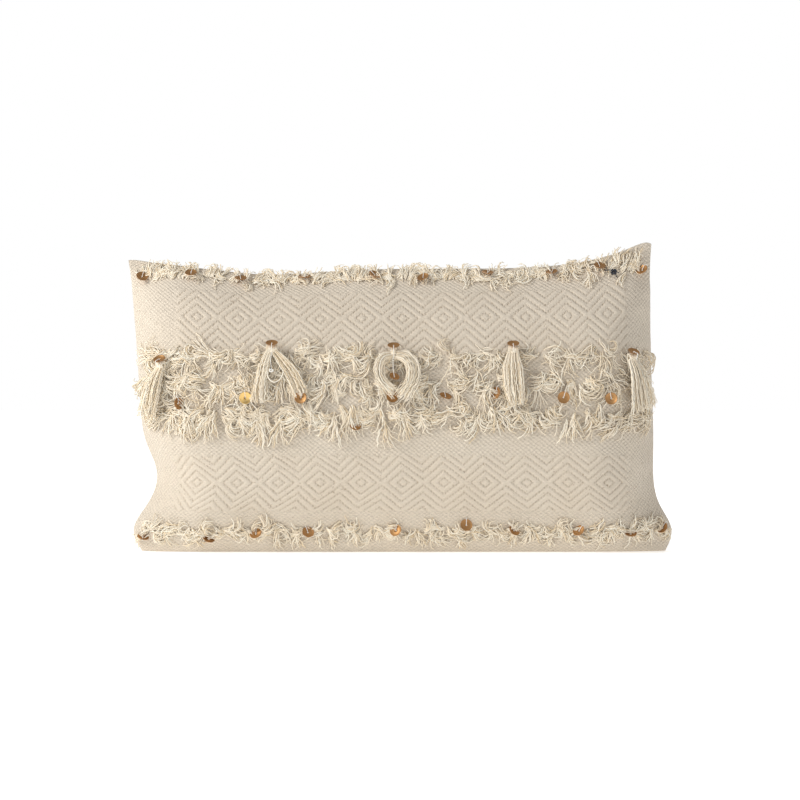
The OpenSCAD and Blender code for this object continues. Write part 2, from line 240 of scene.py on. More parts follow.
def inflate():
    """Sews the front and back together as cloth and inflates them a little. Gives how far
    every point of the front (0) and back (1) moves."""
    s, t = np.meshgrid(crowded(np.linspace(-1, 1, COLS)), crowded(np.linspace(-1, 1, ROWS)))
    front, back = form(s, t, -1.0), form(s, t, 1.0)
    front_at = np.arange(ROWS * COLS).reshape(ROWS, COLS)
    back_at = front_at.copy()
    inner = (slice(1, -1), slice(1, -1))
    back_at[inner] = ROWS * COLS + np.arange((ROWS - 2) * (COLS - 2)).reshape(ROWS - 2, COLS - 2)
    full = np.concatenate([front.reshape(-1, 3), back[inner].reshape(-1, 3)])
    points = full * np.array([1, START_DEPTH, 1]) * MM

    def cells(at, flip):
        q = np.stack([at[:-1, :-1], at[:-1, 1:], at[1:, 1:], at[1:, :-1]], -1).reshape(-1, 4)
        return q[:, ::-1] if flip else q

    mesh = bpy.data.meshes.new("inflating")
    mesh.from_pydata(points, [], np.concatenate([cells(front_at, False), cells(back_at, True)]))
    obj = bpy.data.objects.new("inflating", mesh)
    bpy.context.collection.objects.link(obj)
    held = obj.vertex_groups.new(name="held")
    edge = np.ones((ROWS, COLS), bool)
    edge[inner] = False
    on_floor = np.nonzero(points[:, 2] < 1e-5)[0]
    held.add([int(i) for i in np.union1d(front_at[edge], on_floor)], 1.0, "REPLACE")
    cloth = obj.modifiers.new("cloth", "CLOTH")
    cs = cloth.settings
    cs.quality = 6
    cs.mass = 0.25
    cs.tension_stiffness = cs.compression_stiffness = 12
    cs.shear_stiffness = 4
    cs.bending_stiffness = 0.6
    cs.vertex_group_mass = "held"
    cs.use_pressure = True
    cs.uniform_pressure_force = 4
    cs.shrink_min = -0.035
    cs.effector_weights.gravity = 0
    cloth.collision_settings.use_collision = False
    cloth.point_cache.frame_start, cloth.point_cache.frame_end = 1, CLOTH_FRAMES
    for f in range(1, CLOTH_FRAMES + 1):
        bpy.context.scene.frame_set(f)
    done = obj.evaluated_get(bpy.context.evaluated_depsgraph_get()).to_mesh()
    after = np.zeros(len(points) * 3, np.float32)
    done.vertices.foreach_get("co", after)
    moved = after.reshape(-1, 3) / MM - full
    bpy.data.objects.remove(obj)
    bpy.data.meshes.remove(mesh)
    bpy.context.scene.frame_set(1)
    far = np.linalg.norm(moved, axis=-1, keepdims=True)
    moved = SWELL_SHARE * moved * np.tanh(far / SWELL_CAP) * SWELL_CAP / np.maximum(far, 1e-6)
    both = np.stack([moved[front_at], moved[back_at]])
    for _ in range(SMOOTHING_PASSES):
        both[:, :, 1:-1] = (both[:, :, :-2] + 2 * both[:, :, 1:-1] + both[:, :, 2:]) / 4
    return both


def smooth_read(grid, col, row):
    """Reads a grid of vectors at fractional columns and rows, with a cubic curve each way."""
    rows, cols = grid.shape[:2]
    i0 = np.clip(np.floor(col).astype(int), 0, cols - 2)
    j0 = np.clip(np.floor(row).astype(int), 0, rows - 2)

    def weights(f):
        return (
            -0.5 * f + f**2 - 0.5 * f**3,
            1 - 2.5 * f**2 + 1.5 * f**3,
            0.5 * f + 2 * f**2 - 1.5 * f**3,
            -0.5 * f**2 + 0.5 * f**3,
        )

    wi, wj = weights(col - i0), weights(row - j0)
    out = 0
    for b in range(4):
        for a in range(4):
            g = grid[np.clip(j0 + b - 1, 0, rows - 1), np.clip(i0 + a - 1, 0, cols - 1)]
            out = out + (wi[a] * wj[b])[..., None] * g
    return out


SWELL = inflate()


def cloth_at(s, t, side):
    """The cover's face once it is inflated. Near the zip the tape holds the cloth straight."""
    s, t = np.broadcast_arrays(np.asarray(s, float), np.asarray(t, float))
    col = (uncrowded(s) + 1) / 2 * (COLS - 1)
    row = (uncrowded(t) + 1) / 2 * (ROWS - 1)
    moved = smooth_read(SWELL[0 if side < 0 else 1], col, row)
    p = form(s, t, float(side))
    if side > 0:
        moved = moved * (1 - bump(p[..., 2], ZIP_Z, 20))[..., None]
    p = p + moved
    p[..., 2] = np.maximum(p[..., 2], 0)
    return p


def normal_at(s, t, side):
    d = 0.004
    a = cloth_at(np.clip(s + d, -1, 1), t, side) - cloth_at(np.clip(s - d, -1, 1), t, side)
    b = cloth_at(s, np.clip(t + d, -1, 1), side) - cloth_at(s, np.clip(t - d, -1, 1), side)
    return unit(np.cross(a, b) * (1 if side < 0 else -1))


def on_front(x, z):
    """Point and outward normal of the front at x and height z. Past a seam it carries on
    flat for a few millimetres."""
    x, z = np.asarray(x, float), np.asarray(z, float)
    t = np.clip(t_at(z), -0.9, 0.985)
    z_in = z_at(t)
    s = np.clip(s_at(x, z_in), -0.975, 0.975)
    x_in = middle(z_in) + s * half_width(z_in)
    p = cloth_at(s, t, -1)
    reach = 6.0
    past = np.stack([x - x_in, 0 * x, z - z_in], -1)
    p = p + reach * np.tanh(past / reach)
    return p, normal_at(s, t, -1)


# ---------------------------------------------------------------- materials
def new_material(name, colour, rough=0.9, metal=0.0, sheen=0.0):
    m = bpy.data.materials.new(name)
    m.use_nodes = True
    shader = m.node_tree.nodes["Principled BSDF"]
    shader.inputs["Base Color"].default_value = (*colour, 1)
    shader.inputs["Roughness"].default_value = rough
    shader.inputs["Metallic"].default_value = metal
    shader.inputs["Sheen Weight"].default_value = sheen
    return m, m.node_tree, shader


def node(tree, kind, inputs=None, **settings):
    """Adds a node; an input is a number or another node's output socket."""
    n = tree.nodes.new(kind)
    for key, value in settings.items():
        setattr(n, key, value)
    for key, value in (inputs or {}).items():
        if isinstance(value, bpy.types.NodeSocket):
            tree.links.new(value, n.inputs[key])
        else:
            n.inputs[key].default_value = value
    return n


def math_node(tree, kind, a, b=0.0):
    return node(tree, "ShaderNodeMath", {0: a, 1: b}, operation=kind).outputs[0]


def blend_colour(tree, share, a, b, kind="MIX"):
    n = node(tree, "ShaderNodeMix", data_type="RGBA", blend_type=kind)
    for socket, value in ((n.inputs[0], share), (n.inputs[6], a), (n.inputs[7], b)):
        if isinstance(value, bpy.types.NodeSocket):
            tree.links.new(value, socket)
        else:
            socket.default_value = value
    return n.outputs[2]


CREAM = (0.735, 0.645, 0.520)


def woven_material():
    """Undyed cotton. "cloth" holds each point's place in the cloth in millimetres and, as
    its third value, how many rings it lies from the middle of a diamond. "plain" is 1
    outside the bands and 0 in them."""
    m, tree, shader = new_material("woven_cotton", CREAM, 0.95, sheen=0.08)
    place = node(tree, "ShaderNodeAttribute", attribute_name="cloth").outputs["Vector"]
    plain = node(tree, "ShaderNodeAttribute", attribute_name="plain").outputs["Fac"]

    def times(a, b):
        return math_node(tree, "MULTIPLY", a, b)

    def plus(a, b):
        return math_node(tree, "ADD", a, b)

    def noise(scale, detail, rough=0.5):
        return node(
            tree, "ShaderNodeTexNoise",
            {"Vector": place, "Scale": scale, "Detail": detail, "Roughness": rough},
        ).outputs

    u, v, ring = node(tree, "ShaderNodeSeparateXYZ", {0: place}).outputs
    drift = node(tree, "ShaderNodeSeparateColor", {0: noise(0.10, 2)["Color"]}).outputs
    u_drawn = plus(u, times(drift[0], 3.4))
    v_drawn = plus(v, times(drift[1], 3.0))
    # basket weave, strongest outside the bands; it is both a relief and painted light and shade in the
    # colour
    across = math_node(tree, "SINE", times(u_drawn, math.pi / 2.4))
    up = math_node(tree, "SINE", times(v_drawn, math.pi / 1.95))
    uneven = noise(0.28, 2)["Fac"]
    pebble = times(times(across, up), times(plus(times(plain, 0.75), 0.25), times(uneven, 2.0)))
    # the grooves between the diamonds' ridges, dashed where single threads cross them: sunk in the relief
    # and also darkened with painted shade in the colour
    wave = math_node(tree, "COSINE", times(plus(ring, -0.5), 2 * math.pi / RING))
    groove = math_node(tree, "POWER", plus(times(wave, -0.5), 0.5), 5.0)
    inside = math_node(tree, "SUBTRACT", 1.0, plain)
    dash = plus(times(math_node(tree, "SINE", times(u_drawn, 2 * math.pi / 2.5)), 0.5), 0.5)
    groove = times(times(groove, inside), plus(times(dash, 0.8), 0.2))
    groove = times(groove, times(uneven, 2.0))
    float_line = math_node(tree, "SINE", times(v_drawn, 2 * math.pi / 1.5))
    fine = noise(1.1, 4, 0.7)["Fac"]
    broad = noise(0.018, 2)["Fac"]
    fleck = node(
        tree, "ShaderNodeMapRange",
        {"Value": noise(0.42, 1)["Fac"], "From Min": 0.69, "From Max": 0.75},
    ).outputs[0]
    base = blend_colour(tree, broad, (0.665, 0.575, 0.463, 1), (0.717, 0.641, 0.538, 1))
    # painted light and shade of the weave: the tops of the pebbles and float lines are painted lighter
    # and the gaps between threads darker in the base colour
    shade = plus(times(pebble, 0.085), times(times(float_line, inside), 0.035))
    grain = times(plus(fine, -0.5), 0.36)
    shade = plus(plus(shade, grain), 1.0)
    level = node(tree, "ShaderNodeCombineColor", {0: shade, 1: shade, 2: shade}).outputs[0]
    base = blend_colour(tree, 1.0, base, level, "MULTIPLY")
    # painted shade: the grooves are blended towards a warm brown in the base colour, standing in for the
    # shade that falls in them
    base = blend_colour(tree, times(groove, 0.42), base, (0.36, 0.265, 0.165, 1))
    base = blend_colour(tree, times(fleck, 0.45), base, (0.30, 0.20, 0.11, 1))
    tree.links.new(base, shader.inputs["Base Color"])
    height = plus(times(pebble, 0.9), plus(fine, times(groove, -1.2)))
    relief = node(tree, "ShaderNodeBump", {"Strength": 0.7, "Distance": 0.0006, "Height": height})
    tree.links.new(relief.outputs[0], shader.inputs["Normal"])
    return m


def yarn_materials():
    """Four tints of one undyed cotton yarn, each with a fine noise relief of its fibres."""
    made = []
    tints = ((0.94, 0.85, 0.705), (0.90, 0.79, 0.62), (0.96, 0.90, 0.775), (0.84, 0.70, 0.50))
    for i, tint in enumerate(tints):
        m, tree, shader = new_material(f"cotton_yarn_{i}", tint, 0.95)
        where = node(tree, "ShaderNodeTexCoord").outputs["Object"]
        fibre = node(
            tree, "ShaderNodeTexNoise", {"Vector": where, "Scale": 1800, "Detail": 3}
        ).outputs["Fac"]
        relief = node(tree, "ShaderNodeBump", {"Strength": 0.5, "Distance": 0.0003, "Height": fibre})
        tree.links.new(relief.outputs[0], shader.inputs["Normal"])
        made.append(m)
    return made


def brushed_material(name, colour, rough, metal, scale=900, strength=0.25):
    m, tree, shader = new_material(name, colour, rough, metal)
    where = node(tree, "ShaderNodeTexCoord").outputs["Object"]
    worn = node(
        tree, "ShaderNodeTexNoise", {"Vector": where, "Scale": scale, "Detail": 3}
    ).outputs["Fac"]
    relief = node(tree, "ShaderNodeBump", {"Strength": strength, "Distance": 0.0002, "Height": worn})
    tree.links.new(relief.outputs[0], shader.inputs["Normal"])
    return m


COTTON = woven_material()
YARNS = yarn_materials()
THREAD = brushed_material("white_thread", (0.86, 0.84, 0.79), 0.7, 0.0, 1500, 0.3)
DARK_THREAD = brushed_material("dark_thread", (0.03, 0.035, 0.05), 0.8, 0.0, 1500, 0.3)
COPPER = brushed_material("copper_sequin", (0.47, 0.26, 0.11), 0.50, 0.9, 300, 0.15)
GOLD = brushed_material("gold_sequin", (0.86, 0.58, 0.22), 0.30, 1.0, 300, 0.12)
NICKEL = brushed_material("zip_metal_finish", (0.62, 0.60, 0.57), 0.30, 1.0, 500, 0.12)
TAPE = brushed_material("zip_tape_finish", (0.72, 0.65, 0.54), 0.85, 0.0, 1300, 0.5)
COIL = brushed_material("zip_coil_finish", (0.78, 0.72, 0.62), 0.35, 0.0, 900, 0.1)


# ---------------------------------------------------------------- cover
def ridge_height(u, z, v, band):
    """Height, rings from a diamond's middle and share inside the band of the woven diamonds,
    at u across and v up from the band's middle."""
    low, high, _, ring_v = band
    du = np.abs((u - PHASE + REPEAT / 2) % REPEAT - REPEAT / 2) / (REPEAT / 2)
    d = du + np.abs(v) / ring_v
    wave = 0.5 + 0.5 * np.cos(2 * math.pi * (d - 0.5) / RING)
    inside = smooth(z, low, low + 2.5) * (1 - smooth(z, high - 2.5, high))
    inside = inside * smooth(u, BAND_ENDS[0], BAND_ENDS[0] + 6)
    inside = inside * (1 - smooth(u, BAND_ENDS[1] - 6, BAND_ENDS[1]))
    return RIDGE * inside * wave**0.45, d, inside


def cover():
    """The whole sewn cover as one closed mesh: a fine front, a coarser back and the slit."""
    cols = 480
    u = np.linspace(-1, 1, cols + 1)
    q = 0.8 * math.pi / 2
    s_list = np.sin(q * u) / math.sin(q)
    heights = [
        np.linspace(0.8, 38, 13, endpoint=False),
        np.linspace(38, 92, 58, endpoint=False),
        np.linspace(92, 174, 28, endpoint=False),
        np.linspace(174, 241, 70, endpoint=False),
        241 + 21 * np.sin(np.linspace(0, math.pi / 2, 15)),
    ]
    floor_t = 2 * SINK / (HEIGHT + SINK) - 1
    under = np.linspace(-1, floor_t, 8, endpoint=False)
    t_list = np.concatenate([under, t_at(np.concatenate(heights))])
    t_list[-1] = 1.0
    rows = len(t_list) - 1
    s, t = np.meshgrid(s_list, t_list)

    def lie(side, s, t):
        """Points, with the seam drawn in, and each point's outward normal."""
        p = cloth_at(s, t, side)
        a = np.gradient(p, axis=1)
        b = np.gradient(p, axis=0)
        n = unit(np.cross(a, b) * (1 if side < 0 else -1))
        edge = np.minimum(np.abs(p[..., 1]), 9.0)
        away = [np.sign(s) * np.abs(s) ** 10, 0 * s, np.sign(t) * np.abs(t) ** 10]
        out = unit(np.stack(away, -1) + 1e-9)
        pinch = 1.5 * np.exp(-((edge / 2.0) ** 2))
        return p - out * (pinch * (p[..., 2] > 0.5))[..., None], n

    front, n = lie(-1, s, t)
    arc_v = np.cumsum(np.linalg.norm(np.diff(front, axis=0, prepend=front[:1]), axis=-1), axis=0)
    mid = cols // 2
    arc_v = np.repeat(arc_v[:, mid : mid + 1], cols + 1, axis=1)
    z_form = z_at(t)
    arc_u = np.zeros_like(arc_v)
    for j in range(rows + 1):
        run = np.concatenate([[0], np.cumsum(np.linalg.norm(np.diff(front[j], axis=0), axis=-1))])
        arc_u[j] = run - np.interp(0.0, front[j, :, 0], run)
    rings = np.zeros_like(arc_v)
    plain = np.ones_like(arc_v)
    lift = np.zeros_like(arc_v)
    for band in BANDS:
        band_z = band[2]
        v_mid = np.interp(band_z, z_form[:, mid], arc_v[:, mid])
        u_row = arc_u[np.argmin(np.abs(z_form[:, mid] - band_z))]
        h, d, inside = ridge_height(u_row[None, :] + 0 * t, z_form, arc_v - v_mid, band)
        lift, plain = lift + h, plain * (1 - inside)
        rings = np.where((z_form > band[0] - 6) & (z_form < band[1] + 6), d, rings)
    front = front + n * lift[..., None]

    # the back has every third column, and rows only as fine as the zip needs
    keep_s = np.arange(0, cols + 1, 3)
    near_zip = np.abs(z_form[:, mid] - ZIP_Z) < 15
    dense = [np.logical_and(z_form[:, mid] > b[0] + 1, z_form[:, mid] < b[1] - 1) for b in BANDS]
    skip = np.logical_or(*dense) & ~near_zip & (np.arange(rows + 1) % 4 != 0)
    keep_t = np.nonzero(~skip)[0]
    s_b, t_b = np.meshgrid(s_list[keep_s], t_list[keep_t])
    back, n_b = lie(1, s_b, t_b)
    z_b = z_at(t_b)
    away = np.abs(z_b - ZIP_Z)
    in_zip = 1 - smooth(np.abs(back[..., 0]), ZIP_L / 2 - 1, ZIP_L / 2 + 2)
    groove = -4.6 * (1 - smooth(away, SLIT_H / 2 - 0.7, SLIT_H / 2 + 0.4))
    fold = 0.7 * smooth(away, SLIT_H / 2 - 0.4, SLIT_H / 2 + 1) * (1 - smooth(away, 10.5, 13))
    stitch_line = -0.5 * bump(away, STITCH_OUT, 0.8)
    back = back + n_b * (in_zip * (groove + fold + stitch_line))[..., None]

    front_at = np.arange((rows + 1) * (cols + 1)).reshape(rows + 1, cols + 1)
    first = front_at.size
    nt, ns = len(keep_t), len(keep_s)
    back_at = front_at[np.ix_(keep_t, keep_s)].copy()
    back_at[1:-1, 1:-1] = first + np.arange((nt - 2) * (ns - 2)).reshape(nt - 2, ns - 2)
    points = np.concatenate([front.reshape(-1, 3), back[1:-1, 1:-1].reshape(-1, 3)])
    faces = np.stack(
        [front_at[:-1, :-1], front_at[:-1, 1:], front_at[1:, 1:], front_at[1:, :-1]], -1
    ).reshape(-1, 4).tolist()
    for j in range(nt - 1):
        for i in range(ns - 1):
            low = [back_at[j, i], back_at[j, i + 1]]
            high = [back_at[j + 1, i + 1], back_at[j + 1, i]]
            right, left = [], []
            if j == 0:
                low = list(front_at[0, keep_s[i] : keep_s[i + 1] + 1])
            if j == nt - 2:
                high = list(front_at[-1, keep_s[i] : keep_s[i + 1] + 1][::-1])
            if i == ns - 2:
                right = list(front_at[keep_t[j] + 1 : keep_t[j + 1], -1])
            if i == 0:
                left = list(front_at[keep_t[j] + 1 : keep_t[j + 1], 0][::-1])
            ring = low + right + high + left
            faces.append([int(k) for k in ring[::-1]])
    obj = add_mesh("cover", points, faces, [COTTON])
    cloth = np.concatenate(
        [
            np.stack([arc_u, arc_v, rings], -1).reshape(-1, 3),
            np.stack([back[..., 0], z_b, 0 * z_b], -1)[1:-1, 1:-1].reshape(-1, 3),
        ]
    )
    where = obj.data.attributes.new("cloth", "FLOAT_VECTOR", "POINT")
    where.data.foreach_set("vector", cloth.astype(np.float32).ravel())
    share = np.concatenate([plain.ravel(), np.ones((nt - 2) * (ns - 2))])
    open_weave = obj.data.attributes.new("plain", "FLOAT", "POINT")
    open_weave.data.foreach_set("value", share.astype(np.float32))
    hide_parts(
        "cover_front", "cover_back_upper", "cover_back_lower",
        "insert_case_front", "insert_case_back", "filling",
    )
    return obj


cover()


# ---------------------------------------------------------------- fringe
FRINGE_YARN_R, TASSEL_YARN_R = 0.46, 0.44
# The rows stop this far towards the seams, as a share of the half width
FRINGE_END = 0.955


def strands_on_front(x0, z0, angle, length, curl, wave, lift, points=15):
    """Paths of yarn ends that start on the front at x0, z0 and run at an angle from straight
    down. lift holds each one's height off the cloth at its start, middle and end."""
    count = len(x0)
    f = np.linspace(0, 1, points)[None, :]
    run = f * length[:, None]
    heading = angle[:, None] + curl[:, None] * f + wave[:, None, 0] * np.sin(
        2 * math.pi * (run / wave[:, None, 1] + wave[:, None, 2])
    )
    step = np.diff(run, axis=1)

    def summed(v):
        return np.concatenate([np.zeros((count, 1)), np.cumsum(v * step, axis=1)], axis=1)

    x = x0[:, None] + summed(np.sin(heading[:, :-1]))
    z = z0[:, None] - summed(np.cos(heading[:, :-1]))
    p, n = on_front(x, np.maximum(z, 1.0))
    low, high, end = (lift[:, None, k] for k in range(3))
    off = low * (1 - f) ** 2 + 2 * high * f * (1 - f) + end * f**2
    p = p + n * off[..., None]
    p[..., 2] = np.maximum(p[..., 2], 0.8)
    return p


def fringe_row(line, loose, spacing, per_tuft, length, spread, lift, density, facing):
    """One row of tufts along the front. line gives the row's height at s, loose how far the
    tufts stray from it, and facing their usual angles from straight down."""
    made = [[] for _ in range(7)]
    s = -FRINGE_END
    while s < FRINGE_END:
        z = line(s)
        s += spacing / half_width(z) * rng.uniform(0.5, 1.5)
        x = middle(z) + s * half_width(z)
        full = density(x)
        n = int(rng.integers(*per_tuft) * full)
        if n < 1 or rng.uniform() > full + 0.25:
            continue
        heading = rng.choice(facing) + rng.normal(0, spread)
        bend = rng.normal(0, 1.9)
        root = z + rng.normal(0, loose)
        long = length * rng.uniform(0.75, 1.15) * (0.7 + 0.3 * min(full, 1))
        high = lift * rng.uniform(0.5, 1.6)
        fan = rng.uniform(0.12, 0.38)
        crimp, step, phase = rng.uniform(0.12, 0.38), rng.uniform(7.5, 12.0), rng.uniform(0, 1)
        tuft = (
            x + rng.normal(0, spacing * 0.22, n),
            root + rng.normal(0, 1.3, n),
            heading + rng.normal(0, fan, n),
            long * rng.uniform(0.6, 1.1, n),
            bend + rng.normal(0, 0.5, n),
            np.stack([
                crimp * rng.uniform(0.7, 1.3, n),
                step * rng.uniform(0.9, 1.1, n),
                phase + rng.normal(0, 0.10, n),
            ], -1),
            np.stack([
                rng.uniform(0.3, 1.0, n),
                rng.uniform(0.5, 1.5, n) * high * 2,
                rng.uniform(0.4, 1.8, n),
            ], -1),
        )
        for values, value in zip(made, tuft):
            values.append(value)
    return strands_on_front(*[np.concatenate(v) for v in made])


def yarn_piece(name, paths, radius, body, replaced):
    """Single yarns along the paths, in four tints, that stand for one CAD node."""
    count = len(paths)
    thick = radius * rng.uniform(0.85, 1.15, (count, 1)) * np.linspace(1, 0.85, paths.shape[1])[None]
    points, faces = tubes(paths, thick)
    tint = rng.choice(4, count, p=(0.40, 0.25, 0.25, 0.10))
    obj = add_mesh(name, points, faces, YARNS, np.repeat(tint, len(faces) // count), body)
    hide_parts(replaced)


def even(x):
    return 1.0


def fuller_left(x):
    return 1.45 if x < 30 else 0.95


def sparse_right(x):
    return 1.45 if x < -10 else 0.65


def level(z):
    return lambda s: z


def below_ear(s):
    """The top row stays below the corner that stands up on the right."""
    return 252.0 - 8 * smooth(s, 0.72, 0.95) - 4 * smooth(-s, 0.72, 0.95)


def lower_on_right(s):
    """The lowest middle row sags a little towards the right."""
    return 129.0 - 5 * smooth(s, 0.3, 0.85)


DOWN, UP, SIDE = 0.0, math.pi, math.pi / 2
# Each row: its CAD node, height, how far tufts stray from it, their spacing, yarns to a tuft,
# length, spread of angles, lift off the cloth, how full the row is, and the usual angles
FRINGE = (
    ("fringe_top", below_ear, 1.4, 3.8, (9, 16), 15, 0.7, 1.7, even, (UP, UP, UP - 1.0, UP + 1.0)),
    ("fringe_upper", level(180), 3.0, 3.7, (8, 14), 22, 0.8, 2.8, sparse_right, (DOWN,)),
    ("fringe_middle", level(155), 4.0, 3.5, (8, 14), 23, 0.95, 3.0, fuller_left, (DOWN,)),
    ("fringe_lower", lower_on_right, 3.5, 3.5, (8, 14), 23, 0.8, 3.0, fuller_left, (DOWN,)),
    (
        "fringe_bottom", level(21), 1.8, 3.8, (8, 15), 16, 0.6, 2.2, even,
        (DOWN, DOWN, SIDE, -SIDE, SIDE - 0.6, 0.6 - SIDE),
    ),
)
for name, *values in FRINGE:
    yarn_piece(f"{name}_yarns", fringe_row(*values), FRINGE_YARN_R, "cushion", name)


def dark_knot(x, z):
    """A tangle of dark sewing thread caught in the top fringe, with its loose ends."""
    p, n = on_front(x, z)
    across, up = np.array([1.0, 0, 0]), np.array([0, 0, 1.0])
    lines = []
    for _ in range(7):
        a = 2 * math.pi * (np.linspace(0, 1.2, 16) + rng.uniform(0, 1))
        wide, tall, skew = rng.uniform(1.4, 3.4), rng.uniform(0.8, 2.0), rng.uniform(-0.8, 0.8)
        flat = np.cos(a)[:, None] * wide * (across + skew * up) + np.sin(a)[:, None] * tall * up
        lines.append(p + flat + n * (3.2 + rng.uniform(0, 1.2) + 0.5 * np.sin(3 * a)[:, None]))
    for end in ((-9.0, 3.5), (3.5, -4.0), (5.0, 1.0)):
        f = np.linspace(0, 1, 16)[:, None]
        lines.append(p + n * (3.4 - f) + across * end[0] * f + up * (end[1] * f + np.sin(5 * f)))
    points, faces = tubes(np.array(lines), 0.32, 4)
    obj = add_mesh("dark_thread_knot", points, faces, [DARK_THREAD])


dark_knot(196.0, 246.0)


# ---------------------------------------------------------------- sequins
def sequin_mesh():
    """A cupped disc with a hole, lying in X and Y with its hollow towards +Z."""
    turns = 36
    a = 2 * math.pi * np.arange(turns) / turns
    ring_at = ((HOLE_R, 0.0), (2.2, 0.05), (3.9, 0.35), (5.1, 0.85), (SEQUIN_R, 1.1))
    top = [(r, h + 0.12) for r, h in ring_at]
    under = [(r, h - 0.12) for r, h in ring_at[::-1]]
    profile = top + under
    points = np.array([[r * math.cos(k), r * math.sin(k), h] for r, h in profile for k in a])
    faces = []
    for j in range(len(profile)):
        j2 = (j + 1) % len(profile)
        for i in range(turns):
            i2 = (i + 1) % turns
            faces.append([j * turns + i, j * turns + i2, j2 * turns + i2, j2 * turns + i])
    return points, np.array(faces)


def placed(points, origin, x_axis, y_axis, z_axis):
    return points @ np.stack([x_axis, y_axis, z_axis]) + origin


def sequin_rows():
    points, faces = sequin_mesh()
    for name, places in SEQUIN_ROWS:
        discs, ties, bright = [], [], []
        for k, (x, z, aside, tip, out) in enumerate(places):
            p, n_cover = on_front(float(x), float(z))
            off = unit(np.array([n_cover[0], n_cover[1], max(n_cover[2], 0.0)]))
            a, b = math.radians(aside), math.radians(tip)
            n = np.array([math.sin(a) * math.cos(b), -math.cos(a) * math.cos(b), math.sin(b)])
            across = np.array([math.cos(a), math.sin(a), 0])
            up = np.cross(n, across)
            at = p + off * (out + 1.0)
            discs.append((placed(points, at, across, up, n), faces))
            sway = rng.uniform(-0.5, 0.5)
            way = up * math.cos(sway) + across * math.sin(sway)
            line = [
                at - n * 2.5, at + n * 0.2, at + n * 0.7 + way * 0.8, at + n * 1.3 + way * 3.6,
                at + n * 1.75 + way * 5.6, at + n * 0.6 + way * 7.0, at - n * 1.5 + way * 7.2,
            ]
            ties.append(tubes(np.array([line]), 0.32, 6))
            bright.append(name == "middle" and k == 1)
        p, f = join(discs)
        slots = np.repeat([1 if b else 0 for b in bright], len(faces))
        obj = add_mesh(f"sequins_{name}_cupped", p, f, [COPPER, GOLD], slots)
        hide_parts(f"sequins_{name}")
        p, f = join(ties)
        obj = add_mesh(f"sequin_ties_{name}_thread", p, f, [THREAD])
        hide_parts(f"sequin_ties_{name}")


sequin_rows()


# ---------------------------------------------------------------- tassels
def turned(turn, sway, lift):
    """Rows are the tassel's own X, Y and Z axes."""
    t, w, l = (math.radians(v) for v in (turn, -sway, -lift))
    rx = np.array([[1, 0, 0], [0, math.cos(l), -math.sin(l)], [0, math.sin(l), math.cos(l)]])
    ry = np.array([[math.cos(w), 0, math.sin(w)], [0, 1, 0], [-math.sin(w), 0, math.cos(w)]])
    rz = np.array([[math.cos(t), -math.sin(t), 0], [math.sin(t), math.cos(t), 0], [0, 0, 1]])
    return (rz @ ry @ rx).T


def curve_through(knots, points):
    """A smooth curve through a few knots, evenly spaced along it."""
    k = np.asarray(knots, float)
    at = np.linspace(0, len(k) - 1, 80)
    fine = smooth_read(k[None].repeat(2, 0), at, np.zeros_like(at))
    run = np.concatenate([[0], np.cumsum(np.linalg.norm(np.diff(fine, axis=0), axis=1))])
    even_at = np.linspace(0, run[-1], points)
    return np.stack([np.interp(even_at, run, fine[:, c]) for c in range(3)], -1)


# Each hank: the line its middle follows (X across, Y in and out, Z down its length, in the
# tassel's own frame), its widths along that line, and how many yarns hang in it
HANKS = {
    "far_left": [([(0, 0, -4), (-1, -4, -16), (-2, -5, -32), (-5, -3, -54)], (9, 17, 20, 21), 84)],
    "left": [
        ([(-3, 0, -4), (-7, -2, -16), (-10, -2, -32), (-12, -1, -52)], (6, 11, 12, 15), 42),
        ([(3, 0, -4), (10, -3, -13), (19, -3, -26), (27, -1, -45)], (6, 11, 13, 14), 42),
    ],
    "centre": [
        (
            [(-1, 0, -4), (-9, -3, -7), (-13, -4, -16), (-11, -4, -27), (-3, -3, -36), (4, -2, -41)],
            (6, 9, 10, 9, 8, 9), 40,
        ),
        (
            [(1, 0, -4), (10, -4, -6), (17, -5, -15), (17, -5, -28), (11, -4, -38), (5, -2, -46)],
            (7, 11, 13, 13, 11, 13), 46,
        ),
    ],
    "right": [([(0, 0, -3), (-1, -3, -12), (-1, -3, -32), (1, -1, -54)], (10, 20, 21, 17), 84)],
    "far_right": [([(0, 0, -3), (1, -4, -16), (2, -4, -33), (4, -2, -52)], (10, 19, 26, 32), 104)],
}


def hank_paths(knots, widths, count):
    """Yarns that hang along a middle line and fill an oval about it."""
    n = 26
    made = []
    for _ in range(count):
        radius, spin = math.sqrt(rng.uniform(0.1, 1)), rng.uniform(0, 2 * math.pi)
        place, deep = radius * math.cos(spin), radius * math.sin(spin)
        line = curve_through(knots, 2 * n)
        line = curve_through(line[: int(2 * n * rng.uniform(0.85, 1.0))], n)
        f = np.linspace(0, 1, n)
        along = unit(np.gradient(line, axis=0))
        out = np.array([0.0, -1.0, 0.0])
        across = unit(np.cross(along, out))
        width = np.interp(f, np.linspace(0, 1, len(widths)), widths) / 2
        wander = 0.5 * np.sin(2 * math.pi * (f * rng.uniform(1.0, 2.2) + rng.uniform(0, 1))) * f
        crimp = rng.uniform(0.2, 0.55) * np.sin(2 * math.pi * (f * rng.uniform(6, 8) + rng.uniform(0, 1)))
        stray = rng.normal(0, 1.5) * f**3 + crimp * smooth(f, 0.05, 0.3)
        off = place * width + wander + stray
        ripple = 0.4 * np.sin(2 * math.pi * (f * 2 + rng.uniform(0, 1))) * f
        depth = deep * (1.8 + 1.2 * np.sin(math.pi * f)) + ripple
        made.append(line + across * off[:, None] + out * depth[:, None])
    return made


